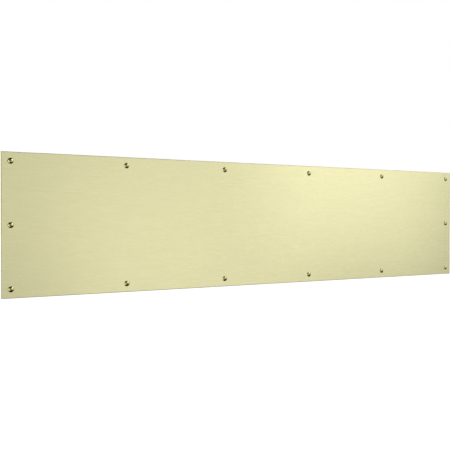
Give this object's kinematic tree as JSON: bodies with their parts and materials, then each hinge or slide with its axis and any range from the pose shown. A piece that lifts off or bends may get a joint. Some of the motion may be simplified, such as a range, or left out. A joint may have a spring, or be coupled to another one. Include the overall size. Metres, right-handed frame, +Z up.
{
  "type": "kick plate",
  "caption": "Flat rectangular brass kick plate with bevelled edges, held to the foot of a door by raised oval-head wood screws around its border.",
  "frame": {"origin": "centre of the plate's flat back face, where it lies on the door", "axes": "+X along the plate's length, +Z up its height, +Y into the door, so the front faces -Y"},
  "size_m": [0.8636, 0.0208, 0.2032],
  "materials": {
    "satin_brass": "satin, brushed lengthwise, clear lacquered",
    "polished_brass": "polished"
  },
  "bodies": {
    "root": {"kick_plate": "satin_brass", "screw_top_1": "polished_brass", "screw_top_2": "polished_brass", "screw_top_3": "polished_brass", "screw_top_4": "polished_brass", "screw_top_5": "polished_brass", "screw_top_6": "polished_brass", "screw_bottom_1": "polished_brass", "screw_bottom_2": "polished_brass", "screw_bottom_3": "polished_brass", "screw_bottom_4": "polished_brass", "screw_bottom_5": "polished_brass", "screw_bottom_6": "polished_brass", "screw_left_middle": "polished_brass", "screw_right_middle": "polished_brass"}
  },
  "joints": []
}
